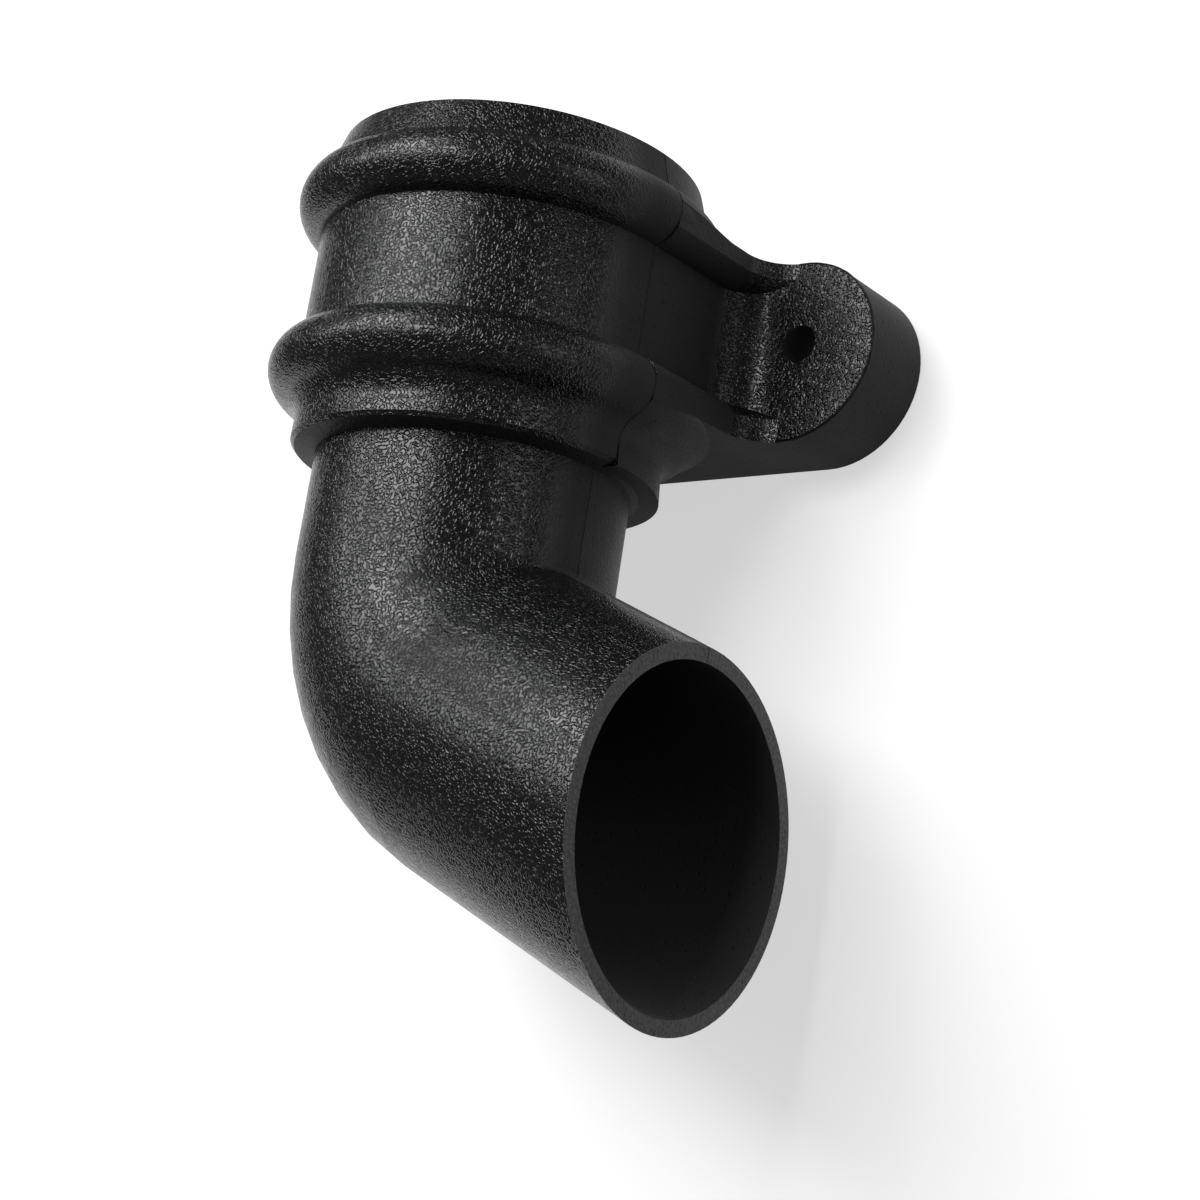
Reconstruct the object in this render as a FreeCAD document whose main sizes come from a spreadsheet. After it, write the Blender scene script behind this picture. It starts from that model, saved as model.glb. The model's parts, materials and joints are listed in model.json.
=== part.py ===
import FreeCAD, Part
import math
import os
import Sketcher
from FreeCAD import Vector

# Downpipe shoe: one moulded piece with a socket collar, two fixing lugs, a bend and an outlet.
# Frame: the origin is on the socket's axis at the ledge that stops the pipe, +Z up the pipe,
# +Y to the wall, +X the way the outlet throws.

# Driving sizes in millimetres, the bend in degrees. Heights are above the pipe stop.
sizes = {
    "socket_bore_radius": 34.75,
    "socket_wall": 3.35,
    "socket_lead_in": 0.8,
    "lip_wall": 2.25,
    "lip_height": 6.9,
    "lip_taper": 2.2,
    "bead_stand": 5.5,
    "bead_radius": 6.4,
    "bead_spacing": 35.4,
    "band_inset": 1.4,
    "band_height": 4.4,
    "band_cove": 5.0,
    "band_bevel": 0.8,
    "rear_fall": 0.5,
    "rear_flare": 0.45,
    "stop_floor": 3.4,
    "step_fall": 0.8,
    "pipe_radius": 31.5,
    "pipe_wall": 2.8,
    "bend_angle": 67.0,
    "crease_radius": 1.0,
    "stop_to_bend": 46.5,
    "mouth_reach": 65.1,
    "screw_spacing": 105.6,
    "screw_height": 30.0,
    "screw_hole_radius": 3.85,
    "screw_boss_radius": 7.5,
    "lug_span": 140.4,
    "lug_height": 28.5,
    "lug_end_radius": 18.7,
    "lug_face_setback": 29.9,
    "lug_depth": 17.4,
    "lug_wall": 3.0,
    "lug_blend": 7.0,
    "flank_radius": 10.0,
    "ridge_turn": 8.1,
    "ridge_sink": 0.25,
    "ridge_flat": 3.0,
    "ridge_fade": 0.08,
    "seam_step": 0.1,
    "blend_lap": 0.3,
    "trim_margin": 4.0,
}


class Size:
    # A length or angle as a formula of the driving sizes, with its present value

    def __init__(self, text, value):
        self.text = text
        self.value = value

    def joined(self, sign, other, value):
        return Size(f"({self.text} {sign} {other.text})", value)

    def __add__(self, other):
        other = as_size(other)
        return self.joined("+", other, self.value + other.value)

    def __sub__(self, other):
        other = as_size(other)
        return self.joined("-", other, self.value - other.value)

    def __mul__(self, other):
        other = as_size(other)
        return self.joined("*", other, self.value * other.value)

    def __truediv__(self, other):
        other = as_size(other)
        return self.joined("/", other, self.value / other.value)

    def __neg__(self):
        return as_size(0) - self


def as_size(number):
    return number if isinstance(number, Size) else Size(repr(number), number)


def root(a):
    return Size(f"sqrt({a.text})", math.sqrt(a.value))


def sine(a):
    return Size(f"sin({a.text})", math.sin(math.radians(a.value)))


def cosine(a):
    return Size(f"cos({a.text})", math.cos(math.radians(a.value)))


def tangent(a):
    return Size(f"tan({a.text})", math.tan(math.radians(a.value)))


doc = FreeCAD.newDocument("downpipe_shoe")
sheet = doc.addObject("Spreadsheet::Sheet", "Sizes")
for row, (alias, number) in enumerate(sizes.items(), start=1):
    sheet.set(f"A{row}", alias)
    sheet.set(f"B{row}", str(number))
    sheet.setAlias(f"B{row}", alias)
doc.recompute()
cell = {alias: Size(f"Sizes.{alias}", number) for alias, number in sizes.items()}

shoe = doc.addObject("PartDesign::Body", "Shoe")
shoe.Label = "downpipe_shoe"
zero = as_size(0)


def bind(feature, prop, size):
    feature.setExpression(prop, size.text)


def origin_plane(role):
    return next(f for f in shoe.Origin.OriginFeatures if f.Role == role)


def new_sketch(name, role, offset=None):
    sketch = shoe.newObject("Sketcher::SketchObject", name)
    sketch.AttachmentSupport = [(origin_plane(role), "")]
    sketch.MapMode = "FlatFace"
    if offset is not None:
        bind(sketch, "AttachmentOffset.Base.z", offset)
    return sketch


def drive(sketch, kind, first, second, size):
    # One driven distance along X or Y from the origin, or a radius
    if kind == "Radius":
        index = sketch.addConstraint(Sketcher.Constraint(kind, first, size.value))
        bind(sketch, f"Constraints[{index}]", size)
    elif size.value == 0:
        axis = -2 if kind == "DistanceX" else -1
        sketch.addConstraint(Sketcher.Constraint("PointOnObject", first, second, axis))
    else:
        index = sketch.addConstraint(Sketcher.Constraint(kind, -1, 1, first, second, size.value))
        bind(sketch, f"Constraints[{index}]", size)


def arc_through(start, end, radius, side):
    # Arc under half a turn; side is 1 with its centre on the left of the way from start to end
    chord = end - start
    left = Vector(-chord.y, chord.x, 0).normalize()
    rise = math.sqrt(max(radius**2 - chord.Length**2 / 4, 0))
    centre = (start + end) / 2 + left * rise * side
    return Part.Arc(start, centre - left * radius * side, end)


def draw(sketch, corners, arcs=(), closed=True):
    # Outline through the corners; arcs maps a corner's number to the radius and side of its edge
    arcs = dict(arcs)
    points = [Vector(x.value, y.value, 0) for x, y in corners]
    count = len(points) if closed else len(points) - 1
    ends = []
    for i in range(count):
        start = points[i]
        end = points[(i + 1) % len(points)]
        if i in arcs:
            radius, side = arcs[i]
            edge = sketch.addGeometry(arc_through(start, end, radius.value, side))
            ends.append((edge, 1, 2) if side > 0 else (edge, 2, 1))
            drive(sketch, "Radius", edge, 0, radius)
        else:
            edge = sketch.addGeometry(Part.LineSegment(start, end))
            ends.append((edge, 1, 2))
    for i, (edge, head, last) in enumerate(ends):
        x, y = corners[i]
        drive(sketch, "DistanceX", edge, head, x)
        drive(sketch, "DistanceY", edge, head, y)
        if closed or i:
            before = ends[i - 1]
            sketch.addConstraint(Sketcher.Constraint("Coincident", before[0], before[2], edge, head))
    if not closed:
        x, y = corners[-1]
        drive(sketch, "DistanceX", edge, last, x)
        drive(sketch, "DistanceY", edge, last, y)


def draw_circle(sketch, x, y, radius):
    edge = sketch.addGeometry(Part.Circle(Vector(x.value, y.value, 0), Vector(0, 0, 1), radius.value))
    drive(sketch, "DistanceX", edge, 3, x)
    drive(sketch, "DistanceY", edge, 3, y)
    drive(sketch, "Radius", edge, 0, radius)


def rectangle(left, low, right, high):
    return [(left, low), (right, low), (right, high), (left, high)]


def feature(kind, name, sketch):
    made = shoe.newObject(f"PartDesign::{kind}", name)
    made.Profile = sketch
    sketch.Visibility = False
    return made


def pad(name, sketch, length, backwards=False):
    made = feature("Pad", name, sketch)
    bind(made, "Length", length)
    made.Reversed = backwards
    return made


def pocket(name, sketch, length=None, backwards=False, both_ways=False):
    made = feature("Pocket", name, sketch)
    if length is None:
        made.Type = "ThroughAll"
    else:
        bind(made, "Length", length)
    made.Reversed = backwards
    made.Midplane = both_ways
    return made


def revolve(name, sketch, angle=360):
    made = feature("Revolution", name, sketch)
    made.ReferenceAxis = (sketch, ["V_Axis"])
    made.Angle = angle
    return made


def sweep(kind, name, profile, path):
    made = feature(kind, name, profile)
    made.Spine = (path, [])
    path.Visibility = False
    return made


# Places worked out from the driving sizes
socket_bore = cell["socket_bore_radius"]
socket_wall = socket_bore + cell["socket_wall"]
lip = socket_bore + cell["lip_wall"]
crest = socket_wall + cell["bead_stand"]
bead_round = cell["bead_radius"]
bead_centre = crest - bead_round
ridge_half = bead_round - cell["ridge_sink"]
ridge_out = bead_centre + ridge_half
band = socket_wall - cell["band_inset"]
pipe = cell["pipe_radius"]
bend = cell["bend_angle"]
bend_point = -cell["stop_to_bend"]
lug_x = cell["lug_span"] / 2 - cell["lug_end_radius"]
lug_top = cell["lug_height"] + cell["lug_end_radius"]
lug_low = cell["lug_height"] - cell["lug_end_radius"]
lug_face = cell["lug_face_setback"]
wall_plane = lug_face + cell["lug_depth"]
skin_plane = lug_face + cell["lug_wall"]
screw_x = cell["screw_spacing"] / 2


def bead_rise(radius):
    # Height of a bead's outline above its middle at a radius from the socket's axis
    out = radius - bead_centre
    return root(bead_round * bead_round - out * out)


# The collar stacks up from the floor under the pipe stop, with a cove between band and lower bead
cove = cell["band_cove"]
cove_out = band + cove - bead_centre
cove_reach = bead_round + cove
cove_rise = root(cove_reach * cove_reach - cove_out * cove_out)
cove_share = bead_round / cove_reach
lip_foot = lip + cell["lip_taper"]
underside = -cell["stop_floor"]
band_top = underside + cell["band_height"]
bead_low = band_top + cove_rise
bead_high = bead_low + cell["bead_spacing"]
lip_low = bead_high + bead_rise(lip_foot)
rim = lip_low + cell["lip_height"]


def blend_corners(bead, lug_side, up):
    # Cove from a bead's outer half down onto the lug's upper or lower side, with a little lap
    blend = cell["lug_blend"]
    lap = cell["blend_lap"] * up
    tuck = bead_round - cell["seam_step"]
    land = lug_side - lap
    rise = (land - bead) * up + blend
    reach = root((tuck + blend) * (tuck + blend) - rise * rise)
    share = tuck / (tuck + blend)
    foot = (bead_centre + reach * share, bead + rise * share * up)
    end = bead_centre + reach
    return [foot, (end, land), (end, land - lap)]


def lug_blends():
    # Spool whose two coves run from the beads out to the lugs' upper and lower sides
    blend = cell["lug_blend"]
    low = blend_corners(bead_low, lug_low, -1)
    high = blend_corners(bead_high, lug_top, 1)
    sketch = new_sketch("BlendProfile", "XZ_Plane")
    waist = [(pipe, low[2][1]), (pipe, high[2][1])]
    corners = [(zero, low[0][1])] + low + waist + high[::-1] + [(zero, high[0][1])]
    draw(sketch, corners, {1: (blend, -1), 7: (blend, -1)})
    revolve("LugBlends", sketch)
    edge = crest + blend + cell["trim_margin"]
    trim = new_sketch("BlendTrim", "XY_Plane")
    draw(trim, rectangle(-edge, -edge, edge, edge))
    draw(trim, rectangle(-ridge_out, zero, ridge_out, wall_plane))
    pocket("BlendTrimmed", trim, both_ways=True)


def lug_plate():
    sketch = new_sketch("LugOutline", "XZ_Plane", -lug_face)
    draw_slot(sketch, cell["lug_end_radius"])
    pad("LugPlate", sketch, cell["lug_depth"], backwards=True)


def draw_slot(sketch, radius):
    # Round-ended outline over both lugs
    middle = cell["lug_height"]
    far = lug_x + radius
    right = [(lug_x, middle - radius), (far, middle), (lug_x, middle + radius)]
    left = [(-lug_x, middle + radius), (-far, middle), (-lug_x, middle - radius)]
    draw(sketch, right + left, {edge: (radius, 1) for edge in (0, 1, 3, 4)})


def flank_corners(side, face, radius):
    # Plan outline: straight back from the socket's side, then a cove out to the lug's face
    out = side + radius
    turn = face - radius
    back = skin_plane + cell["seam_step"]
    right = [(side, zero), (side, turn), (out, face), (out, back)]
    left = [(-out, back), (-out, face), (-side, turn), (-side, zero)]
    return right + left


def lug_flanks():
    # The socket wall runs straight back to the lugs between the two beads
    step = cell["seam_step"]
    sketch = new_sketch("FlankPlan", "XY_Plane", lug_low + step)
    flank = cell["flank_radius"]
    side = socket_wall - step
    draw(sketch, flank_corners(side, lug_face, flank), {1: (flank, -1), 5: (flank, -1)})
    pad("LugFlanks", sketch, lug_top - lug_low - step * 2)


def ridge(name, side, bead, lug_side, inward):
    # A bead's flank runs straight back, turns outwards and fades into the lug's face
    inner = (bead_centre - ridge_half) * side
    centre = bead_centre * side
    outer = ridge_out * side
    foot = bead + ridge_half * inward
    swing = cell["ridge_turn"] + ridge_half
    turn = lug_face + cell["ridge_fade"] - cell["ridge_turn"]
    path = new_sketch(name + "Path", "XY_Plane", bead)
    ends = [(centre, zero), (centre, turn), (centre + swing * side, turn + swing)]
    draw(path, ends, {1: (swing, -side)}, closed=False)
    section = new_sketch(name + "Section", "XZ_Plane")
    corners = [
        (inner, lug_side),
        (outer, lug_side),
        (outer, bead + cell["ridge_flat"] * inward),
        (centre, foot),
        (inner, foot),
    ]
    draw(section, corners, {2: (ridge_half, inward * side)})
    sweep("AdditivePipe", name, section, path)


def lug_cores():
    # The lugs are cored out from the wall side to an even wall, with a boss about each screw hole
    wall = cell["lug_wall"]
    back = new_sketch("CoreOutline", "XZ_Plane", -wall_plane)
    draw_slot(back, cell["lug_end_radius"] - wall)
    pocket("LugCore", back, cell["lug_depth"] - wall, backwards=True)
    plan = new_sketch("FlankCorePlan", "XY_Plane", lug_low + wall)
    side = socket_wall - wall
    cove = cell["flank_radius"] + wall
    draw(plan, flank_corners(side, skin_plane, cove), {1: (cove, -1), 5: (cove, -1)})
    pocket("FlankCore", plan, lug_top - lug_low - wall * 2, backwards=True)
    for name, x in (("BossRight", screw_x), ("BossLeft", -screw_x)):
        sketch = new_sketch(name + "Circle", "XZ_Plane", -lug_face)
        draw_circle(sketch, x, cell["screw_height"], cell["screw_boss_radius"])
        pad(name, sketch, cell["lug_depth"], backwards=True)


def collar():
    # Outline from the pipe up: step, band, cove, bead, socket wall, bead and tapered lip
    step = underside - cell["step_fall"]
    bevel = cell["band_bevel"]
    wall_low = bead_low + bead_rise(socket_wall)
    wall_high = bead_high - bead_rise(socket_wall)
    sketch = new_sketch("CollarProfile", "XZ_Plane")
    corners = [
        (zero, step),
        (pipe, step),
        (band - bevel, underside),
        (band, underside + bevel),
        (band, band_top),
        (bead_centre + cove_out * cove_share, bead_low - cove_rise * cove_share),
        (crest, bead_low),
        (socket_wall, wall_low),
        (socket_wall, wall_high),
        (crest, bead_high),
        (lip_foot, lip_low),
        (lip, rim),
        (zero, rim),
    ]
    rounds = {edge: (bead_round, 1) for edge in (5, 6, 8, 9)}
    rounds[4] = (cove, -1)
    draw(sketch, corners, rounds)
    revolve("Collar", sketch)


def rear_band():
    # The mould's rear half leaves the band a little deeper and wider at its foot than the front half
    low = underside - cell["rear_fall"]
    out = band + cell["rear_flare"]
    sketch = new_sketch("RearBandProfile", "XZ_Plane")
    draw(sketch, [(pipe, low), (out, low), (band + cell["seam_step"], band_top), (pipe, band_top)])
    revolve("RearBand", sketch, 180)


def pipe_and_bores():
    # The outlet's run passes the mouth's plane at its lowest point
    margin = cell["trim_margin"]
    bend_radius = pipe + cell["crease_radius"]
    lead = bend_radius * tangent(bend / 2)
    run = cell["mouth_reach"] / sine(bend) + pipe / tangent(bend) + margin
    path = new_sketch("PipePath", "XZ_Plane")
    ends = [
        (zero, zero),
        (zero, bend_point + lead),
        (lead * sine(bend), bend_point - lead * cosine(bend)),
        (run * sine(bend), bend_point - run * cosine(bend)),
    ]
    draw(path, ends, {1: (bend_radius, 1)}, closed=False)
    outside = new_sketch("PipeCircle", "XY_Plane")
    draw_circle(outside, zero, zero, pipe)
    sweep("AdditivePipe", "Pipe", outside, path)
    socket = new_sketch("SocketCircle", "XY_Plane", rim)
    draw_circle(socket, zero, zero, socket_bore)
    pocket("SocketBore", socket, rim)
    inside = new_sketch("BoreCircle", "XY_Plane")
    draw_circle(inside, zero, zero, pipe - cell["pipe_wall"])
    sweep("SubtractivePipe", "PipeBore", inside, path)
    mouth = new_sketch("MouthCut", "YZ_Plane", cell["mouth_reach"])
    deepest = bend_point - run * cosine(bend) - pipe
    side = pipe + margin
    draw(mouth, rectangle(-side, deepest, side, underside))
    pocket("Mouth", mouth, backwards=True)


def screw_holes():
    for name, x in (("HoleRight", screw_x), ("HoleLeft", -screw_x)):
        sketch = new_sketch(name + "Circle", "XZ_Plane", -wall_plane)
        draw_circle(sketch, x, cell["screw_height"], cell["screw_hole_radius"])
        pocket(name, sketch, cell["lug_depth"], backwards=True)


def lead_in():
    # Small bevel at the socket's mouth that guides the pipe
    doc.recompute()
    base = shoe.Tip
    same = 0.01
    names = []
    for number, edge in enumerate(base.Shape.Edges, start=1):
        if not isinstance(edge.Curve, Part.Circle):
            continue
        away = (edge.Curve.Center - Vector(0, 0, rim.value)).Length
        if away < same and abs(edge.Curve.Radius - socket_bore.value) < same:
            names.append(f"Edge{number}")
    made = shoe.newObject("PartDesign::Chamfer", "LeadIn")
    made.Base = (base, names)
    bind(made, "Size", cell["socket_lead_in"])


lug_blends()
lug_flanks()
lug_plate()
for name, side in (("Right", 1), ("Left", -1)):
    ridge("UpperRidge" + name, side, bead_high, lug_top, -1)
    ridge("LowerRidge" + name, side, bead_low, lug_low, 1)
lug_cores()
collar()
rear_band()
pipe_and_bores()
screw_holes()
lead_in()
doc.recompute()

for item in doc.Objects:
    broken = [word for word in item.State if word in ("Invalid", "Error")]
    if broken:
        raise RuntimeError(f"{item.Name} is {broken}")
for item in shoe.Group:
    if item.TypeId in ("PartDesign::Pocket", "PartDesign::SubtractivePipe"):
        if item.Shape.Volume >= item.BaseFeature.Shape.Volume:
            raise RuntimeError(f"{item.Name} cuts nothing")
if shoe.Shape.isNull() or not shoe.Shape.isValid():
    raise RuntimeError("the shoe's shape is not valid")
if len(shoe.Shape.Solids) != 1:
    raise RuntimeError(f"the shoe has {len(shoe.Shape.Solids)} solids")

os.makedirs("parts", exist_ok=True)
shoe.Shape.exportStep(os.path.join("parts", f"{shoe.Label}.step"))
print(f"{shoe.Label}: {shoe.Shape.Volume / 1000:.1f} cm3, socket {rim.value:.2f} mm deep")
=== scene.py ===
import json
import math

import bmesh
import bpy
from mathutils import Matrix, Quaternion, Vector, noise


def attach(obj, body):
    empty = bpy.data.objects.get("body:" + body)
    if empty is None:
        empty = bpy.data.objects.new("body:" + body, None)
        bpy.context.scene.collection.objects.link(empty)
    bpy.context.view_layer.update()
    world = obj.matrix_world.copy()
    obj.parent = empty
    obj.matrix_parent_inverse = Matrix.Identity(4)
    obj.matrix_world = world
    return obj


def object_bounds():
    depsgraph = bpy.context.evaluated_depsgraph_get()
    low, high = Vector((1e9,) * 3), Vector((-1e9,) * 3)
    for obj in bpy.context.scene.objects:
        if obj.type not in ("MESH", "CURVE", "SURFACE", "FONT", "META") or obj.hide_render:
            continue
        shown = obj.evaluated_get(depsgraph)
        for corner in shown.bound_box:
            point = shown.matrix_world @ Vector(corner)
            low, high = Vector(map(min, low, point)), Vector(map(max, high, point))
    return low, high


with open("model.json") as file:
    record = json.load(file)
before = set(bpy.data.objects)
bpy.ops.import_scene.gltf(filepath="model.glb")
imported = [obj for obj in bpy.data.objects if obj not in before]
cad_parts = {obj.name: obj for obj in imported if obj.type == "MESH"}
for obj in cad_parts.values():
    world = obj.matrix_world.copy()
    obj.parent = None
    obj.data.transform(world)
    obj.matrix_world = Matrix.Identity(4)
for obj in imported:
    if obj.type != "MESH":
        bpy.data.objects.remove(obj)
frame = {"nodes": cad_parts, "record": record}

mm = 0.001
cadLow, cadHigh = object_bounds()
shoe = frame["nodes"]["downpipe_shoe"]
mounts = {mount["name"]: mount for mount in frame["record"]["mounts"]}
print("frame loaded:", shoe.name, len(shoe.data.polygons), "faces")


def colour(hexCode):
    # sRGB hex to linear RGBA
    parts = [int(hexCode[i:i + 2], 16) / 255 for i in (1, 3, 5)]
    return [p / 12.92 if p <= 0.04045 else ((p + 0.055) / 1.055) ** 2.4 for p in parts] + [1]


def addNode(tree, kind, inputs=None, **settings):
    node = tree.nodes.new("ShaderNode" + kind)
    for name, value in settings.items():
        setattr(node, name, value)
    for socket, value in (inputs or {}).items():
        if isinstance(value, bpy.types.NodeSocket):
            tree.links.new(value, node.inputs[socket])
        else:
            node.inputs[socket].default_value = value
    return node.outputs


def newMaterial(name):
    made = bpy.data.materials.new(name)
    made.use_nodes = True
    made.node_tree.nodes.clear()
    return made, made.node_tree


# Places on the moulding, read from the frame
places = {
    "mouthBelow": -20.0,  # mm, the outlet's end is the furthest point under this height
    "besideScrew": 8.0,  # mm, from the screw's axis to bare lug face
    "probeFrom": 50.0,  # mm in front of the shoe
    "lugsAbove": 8.0,  # mm, the lugs are higher than this
}
boreRadius = mounts["socket_bore"]["dims"]["r_mm"] * mm
screwX = mounts["lug_screws"]["dims"]["spacing_x_mm"] / 2 * mm
screwZ = mounts["lug_screws"]["pos_m"][2]
wallY = cadHigh.y
mouthX = max(v.co.x for v in shoe.data.vertices if v.co.z < places["mouthBelow"] * mm)
lugProbe = Vector((screwX + places["besideScrew"] * mm, cadLow.y - places["probeFrom"] * mm, screwZ))
lugFaceY = shoe.ray_cast(lugProbe, Vector((0, 1, 0)))[1].y
print("mouth at x", round(mouthX / mm, 2), "lug face at y", round(lugFaceY / mm, 2))

# PVC-U, black through and through, injection moulded in a spark-etched mould that opens along Y:
# a fine worm-like grain that glints under soft light, and a dull, uneven skin on walls along the draw
pvc = {
    "black": "#0a0a0b",
    "smoothBlack": "#0e0e0f",
    # the bore's paler grey is painted light, standing in for the soft light seen inside it
    "borePaintedLightGrey": "#343435",
    "cutDark": "#3e3e3f",
    "cutLight": "#5a5a5b",
    "grainWidth": 0.72,  # mm, size of the noise that the worms wind through
    "grainDepth": 0.12,  # mm
    "grainSoft": 0.18,  # how wide the flanks of the grooves are
    "grainWind": 0.3,  # how much the worms bend about
    "grainLeft": 0.30,  # share of the grain that is left on smooth walls
    "grainFadeFrom": 0.10,  # how far a face turns to the draw before the grain starts
    "grainFadeTo": 0.40,
    "flatFadeFrom": 0.1,  # a face that lies flat, such as the ledge, has no grain
    "flatFadeTo": 0.3,
    "grainRoughness": 0.24,
    "rearRoughness": 0.75,  # the half towards the wall is duller
    "rearFrom": -0.05,  # how far a face turns to the wall before it dulls
    "rearTo": 0.2,
    "smoothRoughness": 0.78,
    "boreRoughness": 0.60,
    "cutRoughness": 0.65,
    "cloudSize": 14.0,  # mm, slow changes of gloss
    "cloudGloss": 0.025,
    "cloudRange": (0.3, 0.7),  # part of the noise that the gloss follows
    "waveSize": 3.2,  # mm, sinks and swells of the skin
    "waveDepth": 0.05,
    "pitSpacing": 2.0,  # mm, between the tiny pits of smooth faces
    "pitRadius": 0.36,
    "pitDepth": 0.25,
    "pitFloor": 0.4,  # share of a pit's radius that is its flat floor
    "sawSpacing": 0.7,  # mm, specks of the sawn mouth
    "sawRange": (0.4, 0.65),  # part of the noise that the specks follow
    "boreSlack": 1.0,  # mm past its radius that still count as the bore's wall
    "socketSlack": 0.1,  # mm, the same for the socket with its ledge
    "ledgeSlack": 0.5,  # mm below the ledge
    "mouthSlack": 0.05,  # mm behind the mouth's face
    "ior": 1.46,
}


def blackPvc():
    made, tree = newMaterial("blackMouldedPvcU")
    place = addNode(tree, "TexCoord")["Object"]
    normal = addNode(tree, "NewGeometry")["Normal"]
    at = addNode(tree, "SeparateXYZ", {0: place})
    facing = addNode(tree, "SeparateXYZ", {0: normal})

    # how far a face is turned to the draw, measured in plan, so that beads and coves keep their grain
    plan = addNode(tree, "VectorMath", {0: normal, 1: (1, 1, 0)}, operation="MULTIPLY")[0]
    planSize = addNode(tree, "VectorMath", {0: plan}, operation="LENGTH")["Value"]
    planWay = addNode(tree, "VectorMath", {0: plan}, operation="NORMALIZE")[0]
    alongDraw = addNode(tree, "SeparateXYZ", {0: planWay})["Y"]
    turned = addNode(tree, "Math", {0: alongDraw}, operation="ABSOLUTE")[0]
    onDraw = addNode(tree, "MapRange", {
        "Value": turned, "From Min": pvc["grainFadeFrom"], "From Max": pvc["grainFadeTo"],
    }, interpolation_type="SMOOTHSTEP")[0]
    upright = addNode(tree, "MapRange", {
        "Value": planSize, "From Min": pvc["flatFadeFrom"], "From Max": pvc["flatFadeTo"],
    }, interpolation_type="SMOOTHSTEP")[0]

    # the bore's wall faces its own axis, so its normal and place along Y have unlike signs
    along = addNode(tree, "Math", {0: facing["Y"], 1: at["Y"]}, operation="MULTIPLY")[0]
    inward = addNode(tree, "Math", {0: along, 1: 0.0}, operation="LESS_THAN")[0]
    sideX = addNode(tree, "Math", {0: at["X"]}, operation="ABSOLUTE")[0]
    boreReach = boreRadius + pvc["boreSlack"] * mm
    nearAxis = addNode(tree, "Math", {0: sideX, 1: boreReach}, operation="LESS_THAN")[0]
    lowDown = addNode(tree, "Math", {0: at["Z"], 1: places["lugsAbove"] * mm}, operation="LESS_THAN")[0]
    offLug = addNode(tree, "Math", {0: nearAxis, 1: lowDown}, operation="MAXIMUM")[0]
    boreWall = addNode(tree, "Math", {0: inward, 1: offLug}, operation="MULTIPLY")[0]
    # the ledge lies flat, so the socket's inside goes by its radius
    planPlace = addNode(tree, "VectorMath", {0: place, 1: (1, 1, 0)}, operation="MULTIPLY")[0]
    fromAxis = addNode(tree, "VectorMath", {0: planPlace}, operation="LENGTH")["Value"]
    socketReach = boreRadius + pvc["socketSlack"] * mm
    withinSocket = addNode(tree, "Math", {0: fromAxis, 1: socketReach}, operation="LESS_THAN")[0]
    ledgeFrom = -pvc["ledgeSlack"] * mm
    aboveLedge = addNode(tree, "Math", {0: at["Z"], 1: ledgeFrom}, operation="GREATER_THAN")[0]
    inSocket = addNode(tree, "Math", {0: withinSocket, 1: aboveLedge}, operation="MULTIPLY")[0]
    inBore = addNode(tree, "Math", {0: boreWall, 1: inSocket}, operation="MAXIMUM")[0]
    mouthFrom = mouthX - pvc["mouthSlack"] * mm
    pastMouth = addNode(tree, "Math", {0: at["X"], 1: mouthFrom}, operation="GREATER_THAN")[0]
    onMouth = addNode(tree, "Math", {0: pastMouth, 1: lowDown}, operation="MULTIPLY")[0]
    inside = addNode(tree, "Math", {0: inBore, 1: onMouth}, operation="MAXIMUM")[0]
    outside = addNode(tree, "Math", {0: 1.0, 1: inside}, operation="SUBTRACT")[0]
    etched = addNode(tree, "Math", {0: onDraw, 1: upright}, operation="MULTIPLY")[0]
    grainMask = addNode(tree, "Math", {0: etched, 1: outside}, operation="MULTIPLY")[0]

    # grain: winding grooves along the middle level of a noise, with worms between them
    worm = addNode(tree, "TexNoise", {
        "Vector": place, "Scale": 1 / (pvc["grainWidth"] * mm), "Detail": 0.0,
        "Distortion": pvc["grainWind"],
    })[0]
    level = addNode(tree, "Math", {0: worm, 1: 0.5}, operation="SUBTRACT")[0]
    offLevel = addNode(tree, "Math", {0: level}, operation="ABSOLUTE")[0]
    wormHeight = addNode(tree, "MapRange", {
        "Value": offLevel, "From Min": 0.0, "From Max": pvc["grainSoft"],
    }, interpolation_type="SMOOTHSTEP")[0]
    grainShare = addNode(tree, "MapRange", {
        "Value": grainMask, "To Min": pvc["grainLeft"], "To Max": 1.0,
    })[0]
    grain = addNode(tree, "Math", {0: wormHeight, 1: grainShare}, operation="MULTIPLY")[0]
    wave = addNode(tree, "TexNoise", {
        "Vector": place, "Scale": 1 / (pvc["waveSize"] * mm), "Detail": 1.0,
    })[0]
    waveBump = addNode(tree, "Bump", {
        "Strength": 1.0, "Distance": pvc["waveDepth"] * mm, "Height": wave,
    })[0]
    grainBump = addNode(tree, "Bump", {
        "Strength": 1.0, "Distance": pvc["grainDepth"] * mm, "Height": grain, "Normal": waveBump,
    })[0]

    # smooth faces: a few tiny pits
    spots = addNode(tree, "TexVoronoi", {
        "Vector": place, "Scale": 1 / (pvc["pitSpacing"] * mm),
    })["Distance"]
    pitEdge = pvc["pitRadius"] / pvc["pitSpacing"]
    pit = addNode(tree, "MapRange", {
        "Value": spots, "From Min": pitEdge * pvc["pitFloor"], "From Max": pitEdge,
    }, interpolation_type="SMOOTHSTEP")[0]
    pitHeight = addNode(tree, "Math", {0: pit, 1: grainMask}, operation="MAXIMUM")[0]
    skinBump = addNode(tree, "Bump", {
        "Strength": 1.0, "Distance": pvc["pitDepth"] * mm, "Height": pitHeight, "Normal": grainBump,
    })[0]
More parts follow.
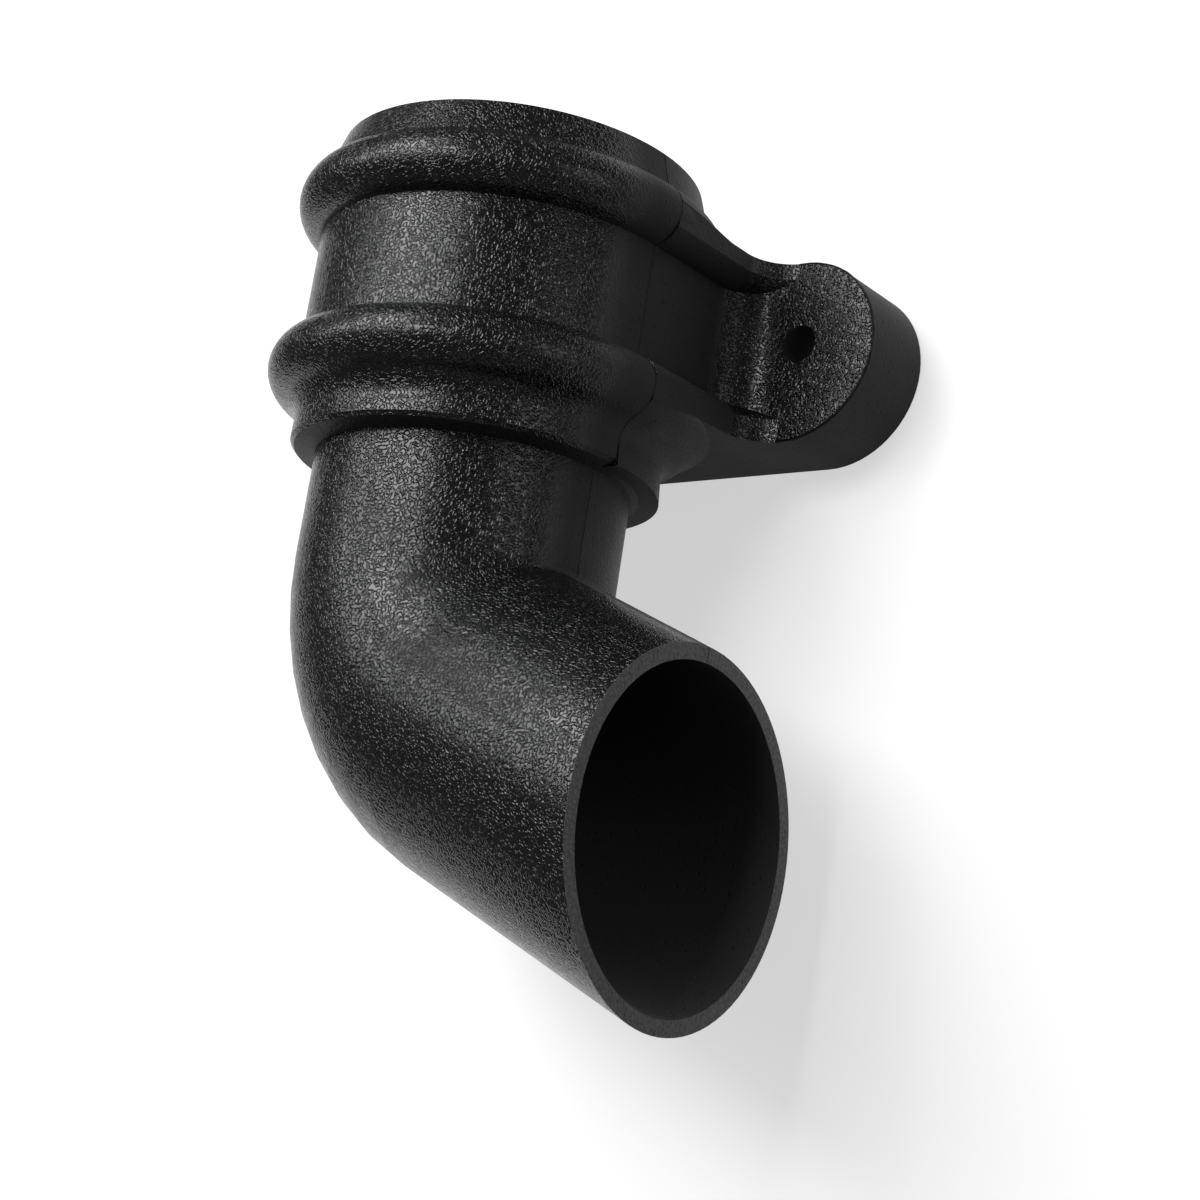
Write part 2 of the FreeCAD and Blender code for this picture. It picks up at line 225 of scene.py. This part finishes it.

    # black skin; a duller bore, its paler grey painted light; and the mouth's sawn face paler still,
    # with specks
    skin = addNode(tree, "Mix", {
        "Factor": grainMask, "A": colour(pvc["smoothBlack"]), "B": colour(pvc["black"]),
    }, data_type="RGBA")["Result"]
    # painted light: the bore takes a paler grey than the black skin, for the light inside it
    skinWithPaintedBoreLight = addNode(tree, "Mix", {
        "Factor": inBore, "A": skin, "B": colour(pvc["borePaintedLightGrey"]),
    }, data_type="RGBA")["Result"]
    specks = addNode(tree, "TexNoise", {
        "Vector": place, "Scale": 1 / (pvc["sawSpacing"] * mm), "Detail": 2.0,
    })[0]
    sawLow, sawHigh = pvc["sawRange"]
    speckMix = addNode(tree, "MapRange", {"Value": specks, "From Min": sawLow, "From Max": sawHigh})[0]
    sawn = addNode(tree, "Mix", {
        "Factor": speckMix, "A": colour(pvc["cutDark"]), "B": colour(pvc["cutLight"]),
    }, data_type="RGBA")["Result"]
    shade = addNode(tree, "Mix", {"Factor": onMouth, "A": skinWithPaintedBoreLight, "B": sawn}, data_type="RGBA")["Result"]

    # gloss: satin in front, dull behind and on smooth walls, with slow changes
    halfRough = addNode(tree, "MapRange", {
        "Value": facing["Y"], "From Min": pvc["rearFrom"], "From Max": pvc["rearTo"],
        "To Min": pvc["grainRoughness"], "To Max": pvc["rearRoughness"],
    }, interpolation_type="SMOOTHSTEP")[0]
    skinRough = addNode(tree, "MapRange", {
        "Value": grainMask, "To Min": pvc["smoothRoughness"], "To Max": halfRough,
    })[0]
    boreRough = addNode(tree, "Mix", {
        "Factor": inBore, "A": skinRough, "B": pvc["boreRoughness"],
    })["Result"]
    cutRough = addNode(tree, "Mix", {
        "Factor": onMouth, "A": boreRough, "B": pvc["cutRoughness"],
    })["Result"]
    cloud = addNode(tree, "TexNoise", {
        "Vector": place, "Scale": 1 / (pvc["cloudSize"] * mm), "Detail": 3.0,
    })[0]
    cloudLow, cloudHigh = pvc["cloudRange"]
    drift = addNode(tree, "MapRange", {
        "Value": cloud, "From Min": cloudLow, "From Max": cloudHigh,
        "To Min": -pvc["cloudGloss"], "To Max": pvc["cloudGloss"],
    })[0]
    rough = addNode(tree, "Math", {0: cutRough, 1: drift}, operation="ADD")[0]
    shader = addNode(tree, "BsdfPrincipled", {
        "Base Color": shade, "Roughness": rough, "IOR": pvc["ior"], "Normal": skinBump,
    })[0]
    addNode(tree, "OutputMaterial", {"Surface": shader})
    return made


shoe.data.materials.clear()
shoe.data.materials.append(blackPvc())
print("shoe dressed")

# Flash: the hairline of plastic squeezed into the mould's parting line and round the lugs' faces
flash = {
    "shift": -0.15,  # mm along Y, clear of the step between the mould's halves
    "seam": {"width": 0.34, "proud": 0.06, "sink": 0.06},  # mm
    "lugEdge": {"width": 0.56, "proud": 0.05, "sink": 0.10},
    # its colours, darker than the moulding's black, are painted shade for the dark line along the
    # parting line and round the lugs' faces
    "dark": "#020202",
    "light": "#0b0b0c",
    "roughness": (0.22, 0.55),
    "ior": 1.16,  # low, so that it hardly shines and the line stays dark, as painted shade
    "crumb": 0.9,  # mm, length of its uneven bits
    "crumbRange": (0.35, 0.65),  # part of the noise that its gloss follows
    "uneven": 0.5,
    "halvings": 5,  # rounds that halve edges longer than a crumb
    "leastFacing": 0.2,  # how far a point must look outwards to carry the parting line
    "sharpFrom": 60.0,  # degrees, the least angle of the lugs' edge
    "lugFrom": 45.0,  # mm from the middle, where the lugs' own edge starts
    "holeClear": 5.0,  # mm round the screw, left bare
    "onFace": 0.02,  # mm, how near the lug's face counts as on it
    "weld": 0.001,  # mm
    "threadWeld": 0.0005,
}
bend = {"z": -46.5, "throw": 67.0}  # mm and degrees, where the pipe turns and how far


def flashPvcPaintedShade():
    made, tree = newMaterial("thinPvcUFlashPaintedShade")
    place = addNode(tree, "TexCoord")["Object"]
    crumbs = addNode(tree, "TexNoise", {
        "Vector": place, "Scale": 1 / (flash["crumb"] * mm), "Detail": 1.0,
    })[0]
    # painted shade: colours darker than the moulding's black, varied at random along the line
    shade = addNode(tree, "Mix", {
        "Factor": crumbs, "A": colour(flash["dark"]), "B": colour(flash["light"]),
    }, data_type="RGBA")["Result"]
    glossy, dull = flash["roughness"]
    crumbLow, crumbHigh = flash["crumbRange"]
    rough = addNode(tree, "MapRange", {
        "Value": crumbs, "From Min": crumbLow, "From Max": crumbHigh, "To Min": dull, "To Max": glossy,
    })[0]
    shader = addNode(tree, "BsdfPrincipled", {
        "Base Color": shade, "Roughness": rough, "IOR": flash["ior"],
    })[0]
    addNode(tree, "OutputMaterial", {"Surface": shader})
    return made


def onSkin(vert):
    # outside faces look away from the line through the middle of the socket, pipe and outlet
    knee = Vector((0, 0, bend["z"] * mm))
    turn = math.radians(bend["throw"])
    throw = Vector((math.sin(turn), 0, -math.cos(turn)))
    run = vert.co - knee
    fromPipe = run - Vector((0, 0, max(run.z, 0)))
    fromOutlet = run - throw * max(run.dot(throw), 0)
    away = min(fromPipe, fromOutlet, key=lambda way: way.length)
    return vert.normal.dot(away.normalized()) > flash["leastFacing"]


def shoeMesh():
    bm = bmesh.new()
    bm.from_mesh(shoe.data)
    bmesh.ops.remove_doubles(bm, verts=bm.verts, dist=flash["weld"] * mm)
    return bm


def seamEdges(bm):
    cutY = flash["shift"] * mm
    near = flash["weld"] * mm
    return [edge for edge in bm.edges
            if all(abs(vert.co.y - cutY) < near and onSkin(vert) for vert in edge.verts)]


def lugEdges(bm):
    picked = []
    for edge in bm.edges:
        if len(edge.link_faces) != 2 or edge.calc_face_angle() < math.radians(flash["sharpFrom"]):
            continue
        onFace = all(abs(vert.co.y - lugFaceY) < flash["onFace"] * mm for vert in edge.verts)
        middle = (edge.verts[0].co + edge.verts[1].co) / 2
        fromScrew = math.hypot(abs(middle.x) - screwX, middle.z - screwZ)
        offHole = fromScrew > flash["holeClear"] * mm
        if onFace and offHole and abs(middle.x) > flash["lugFrom"] * mm:
            picked.append(edge)
    return picked


def hairline(name, bm, pick, sideOf, size):
    base = bm.verts.layers.int.new("base")  # which point of the line a vertex comes from
    for halving in range(flash["halvings"]):
        bm.normal_update()
        longEdges = [edge for edge in pick(bm) if edge.calc_length() > flash["crumb"] * mm]
        if longEdges:
            bmesh.ops.subdivide_edges(bm, edges=longEdges, cuts=1)
    bm.normal_update()
    bm.verts.index_update()
    row = pick(bm)
    verts = sorted({vert for edge in row for vert in edge.verts}, key=lambda vert: vert.index)
    spots = [(vert.co.copy(), vert.normal.copy()) for vert in verts]
    for number, vert in enumerate(verts):
        vert[base] = number
    keep = set(row)
    bmesh.ops.delete(bm, geom=list(bm.faces), context="FACES_ONLY")
    bmesh.ops.delete(bm, geom=[edge for edge in bm.edges if edge not in keep], context="EDGES")
    bmesh.ops.delete(bm, geom=[vert for vert in bm.verts if not vert.link_edges], context="VERTS")

    # the kept edges are drawn out three times, to a thread with three sides that closes on its first row
    rows = [verts]
    for side in range(3):
        drawn = bmesh.ops.extrude_edge_only(bm, edges=row)["geom"]
        row = [part for part in drawn if isinstance(part, bmesh.types.BMEdge)]
        rows.append([part for part in drawn if isinstance(part, bmesh.types.BMVert)])
    half, proud, sink = size["width"] / 2, size["proud"], size["sink"]
    outline = [(-half, -sink), (0, proud), (half, -sink), (-half, -sink)]
    for (across, out), ring in zip(outline, rows):
        for vert in ring:
            place, normal = spots[vert[base]]
            girth = (1 + flash["uneven"] * noise.noise(place / (flash["crumb"] * mm))) * mm
            spot = place + sideOf(normal) * across * girth + normal * out * girth
            # kept inside the CAD box
            vert.co = [min(max(part, low), high) for part, low, high in zip(spot, cadLow, cadHigh)]
    bmesh.ops.remove_doubles(bm, verts=bm.verts, dist=flash["threadWeld"] * mm)
    bmesh.ops.holes_fill(bm, edges=[edge for edge in bm.edges if edge.is_boundary], sides=4)
    bmesh.ops.recalc_face_normals(bm, faces=bm.faces)
    mesh = bpy.data.meshes.new(name)
    bm.to_mesh(mesh)
    bm.free()
    mesh.materials.append(flashPaintedShadeMaterial)
    piece = bpy.data.objects.new(name, mesh)
    bpy.context.scene.collection.objects.link(piece)
    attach(piece, "root")
    print(name, len(spots), "points,", len(mesh.polygons), "faces")


flashPaintedShadeMaterial = flashPvcPaintedShade()
seam = shoeMesh()
bmesh.ops.bisect_plane(seam, geom=seam.verts[:] + seam.edges[:] + seam.faces[:],
                       plane_co=(0, flash["shift"] * mm, 0), plane_no=(0, 1, 0))
hairline("partingLine", seam, seamEdges, lambda normal: Vector((0, 1, 0)), flash["seam"])
hairline("lugEdgeLine", shoeMesh(), lugEdges,
         lambda normal: Vector((normal.x, -normal.y, normal.z)).normalized(), flash["lugEdge"])
print("flash laid")

# Studio: a white board behind the lugs, seen from its front only, and a pale floor well below
stage = {
    "boardGap": 0.4,  # mm behind the lugs
    "boardAt": (-75, 15),  # mm, middle along X and Z
    "boardSize": (480, 400),
    "boardPaint": "#b8b8b8",
    "boardLift": 0.58,  # glow that makes the lit board white
    "floorDrop": 900,  # mm below the shoe, so that it throws no light on it from close by
    "floorSize": (1400, 1400),
    "floorPaint": "#e6e6e6",
}


def boardWhite():
    made, tree = newMaterial("mattStudioWhite")
    rays = addNode(tree, "LightPath")
    straight = addNode(tree, "Math", {0: rays["Is Camera Ray"], 1: rays["Is Transmission Ray"]},
                       operation="MAXIMUM")[0]
    seen = addNode(tree, "Math", {0: straight, 1: rays["Is Glossy Ray"]}, operation="MAXIMUM")[0]
    strength = addNode(tree, "Math", {0: seen, 1: stage["boardLift"]}, operation="MULTIPLY")[0]
    behind = addNode(tree, "NewGeometry")["Backfacing"]
    paint = addNode(tree, "BsdfDiffuse", {"Color": colour(stage["boardPaint"])})[0]
    lift = addNode(tree, "Emission", {"Color": colour("#ffffff"), "Strength": strength})[0]
    white = addNode(tree, "AddShader", {0: paint, 1: lift})[0]
    clear = addNode(tree, "BsdfTransparent")[0]
    sided = addNode(tree, "MixShader", {0: behind, 1: white, 2: clear})[0]
    addNode(tree, "OutputMaterial", {"Surface": sided})
    return made


def floorPale():
    made, tree = newMaterial("paleFloorPaper")
    paint = addNode(tree, "BsdfDiffuse", {"Color": colour(stage["floorPaint"])})[0]
    addNode(tree, "OutputMaterial", {"Surface": paint})
    return made


def stagePlane(name, place, size, material):
    bm = bmesh.new()
    bmesh.ops.create_grid(bm, x_segments=1, y_segments=1, size=0.5 * mm)  # a square of 1 mm
    bmesh.ops.scale(bm, vec=(*size, 1), verts=bm.verts)
    bmesh.ops.transform(bm, matrix=place, verts=bm.verts)
    mesh = bpy.data.meshes.new(name)
    bm.to_mesh(mesh)
    bm.free()
    mesh.materials.append(material)
    plane = bpy.data.objects.new(name, mesh)
    plane.visible_shadow = False
    bpy.context.scene.collection.objects.link(plane)


boardX, boardZ = stage["boardAt"]
boardPlace = Matrix.Translation((boardX * mm, wallY + stage["boardGap"] * mm, boardZ * mm))
boardPlace = boardPlace @ Matrix.Rotation(math.radians(90), 4, "X")
floorPlace = Matrix.Translation((0, 0, cadLow.z - stage["floorDrop"] * mm))
stagePlane("backdrop", boardPlace, stage["boardSize"], boardWhite())
stagePlane("floor", floorPlace, stage["floorSize"], floorPale())
print("stage set")

# Soft boxes in mm and watts, named by where they stand; the rear one shines through the board's back
lamps = {
    "key": {"at": (-240, -630, 310), "size": (280, 360), "power": 3.0},
    "left": {"at": (-540, -600, 190), "size": (260, 260), "power": 1.0},
    "front": {"at": (20, -710, 190), "size": (320, 260), "power": 2.4},
    "high": {"at": (-190, -520, 495), "size": (300, 260), "power": 1.3},
    "right": {"at": (712, -191, 64), "size": (300, 400), "power": 0.6},
    "rear": {"at": (-120, 690, 330), "size": (500, 400), "power": 2.0},
}
lampAim = Vector((10, 0, -10)) * mm  # near the middle of the shoe


def softBox(name, lamp):
    light = bpy.data.lights.new(name, "AREA")
    light.shape = "RECTANGLE"
    light.size, light.size_y = (side * mm for side in lamp["size"])
    light.energy = lamp["power"]
    box = bpy.data.objects.new(name, light)
    box.location = Vector(lamp["at"]) * mm
    box.rotation_euler = (lampAim - box.location).to_track_quat("-Z", "Y").to_euler()
    bpy.context.scene.collection.objects.link(box)


for name, lamp in lamps.items():
    softBox(name, lamp)

roomLight = 0.12  # even light from all round
world = bpy.data.worlds.new("softStudio")
world.use_nodes = True
world.node_tree.nodes.clear()
room = addNode(world.node_tree, "Background", {"Color": colour("#ffffff"), "Strength": roomLight})[0]
addNode(world.node_tree, "OutputWorld", {"Surface": room})
bpy.context.scene.world = world
print("lights set")

# Camera at the photo's angle, lower than the shoe and looking up at it, in mm and degrees
view = {
    "aim": (24.77, 15.03, -25.47),
    "azimuth": 41.196,
    "elevation": -13.395,
    "roll": 8.767,
    "distance": 450.4,
    "lens": 69.72,
    "sensor": 36,
    "clip": 10,
}
cameraData = bpy.data.cameras.new("camera")
cameraData.lens = view["lens"]
cameraData.sensor_width = view["sensor"]
cameraData.clip_start = view["clip"] * mm
camera = bpy.data.objects.new("camera", cameraData)
azimuth = math.radians(view["azimuth"])
elevation = math.radians(view["elevation"])
flat = math.cos(elevation)
back = Vector((math.sin(azimuth) * flat, -math.cos(azimuth) * flat, math.sin(elevation)))
camera.location = (Vector(view["aim"]) + back * view["distance"]) * mm
camera.rotation_mode = "QUATERNION"
roll = Quaternion((0, 0, 1), math.radians(view["roll"]))
camera.rotation_quaternion = (-back).to_track_quat("-Z", "Y") @ roll
bpy.context.scene.collection.objects.link(camera)
bpy.context.scene.camera = camera
bpy.context.scene.view_settings.view_transform = "Standard"
print("camera set")
